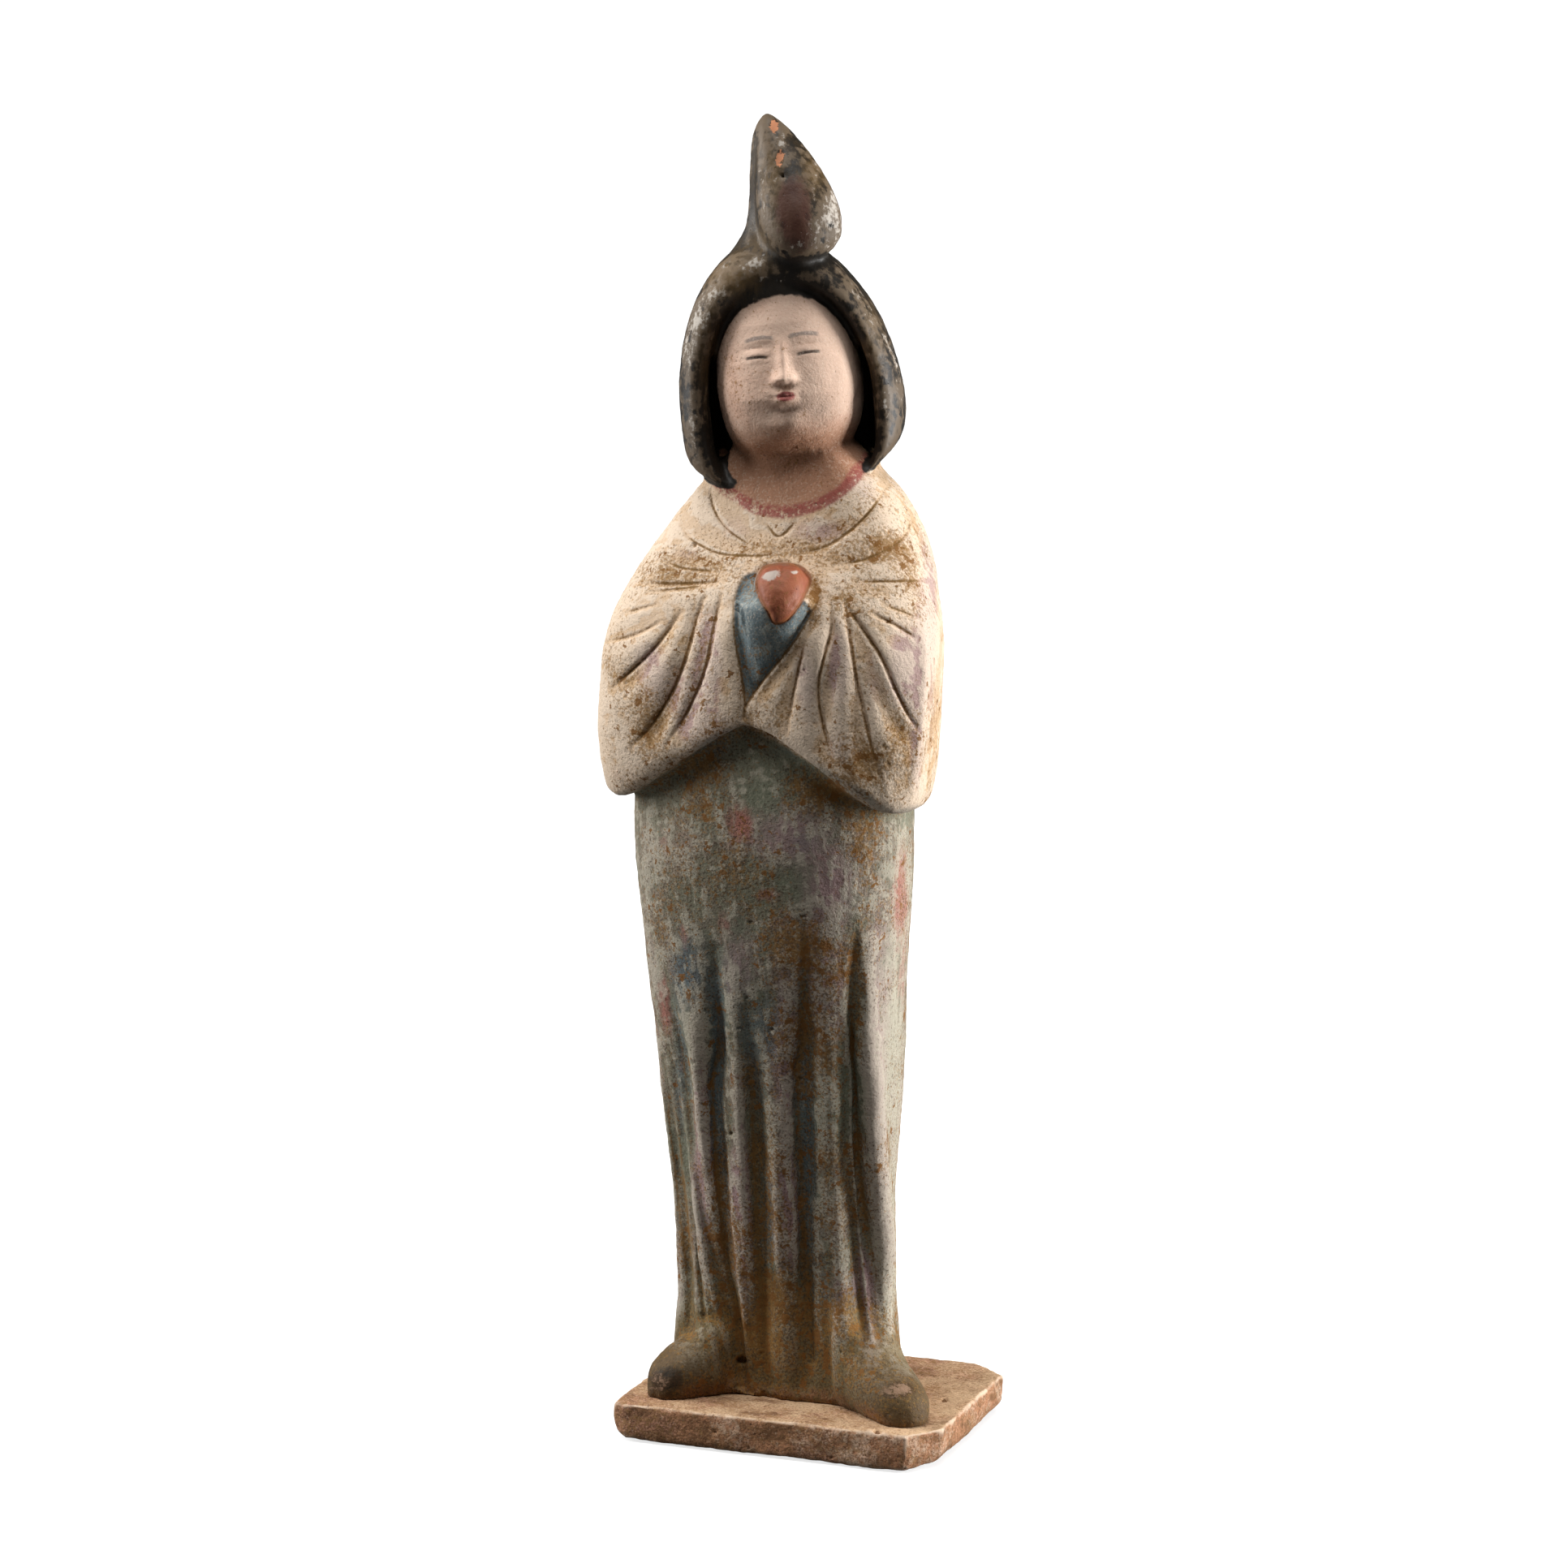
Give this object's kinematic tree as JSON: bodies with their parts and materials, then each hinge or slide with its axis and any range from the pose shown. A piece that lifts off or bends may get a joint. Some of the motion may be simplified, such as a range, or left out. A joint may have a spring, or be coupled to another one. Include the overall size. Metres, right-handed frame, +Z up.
{
  "type": "tang court lady figure",
  "caption": "Standing painted-earthenware court lady with a tall topknot, a hood of hair, folded hands under draped sleeves and a long pleated skirt, on a cut-cornered clay slab.",
  "frame": {"origin": "centre of the slab's underside", "axes": "+Z up, the figure faces -Y, +X is her left"},
  "size_m": [0.1102, 0.0923, 0.4003],
  "materials": {
    "painted_clay": "matt painted earthenware, worn",
    "slab_clay": "matt bare earthenware, worn"
  },
  "bodies": {
    "root": {"court_lady": "painted_clay", "base_slab": "slab_clay"}
  },
  "joints": []
}
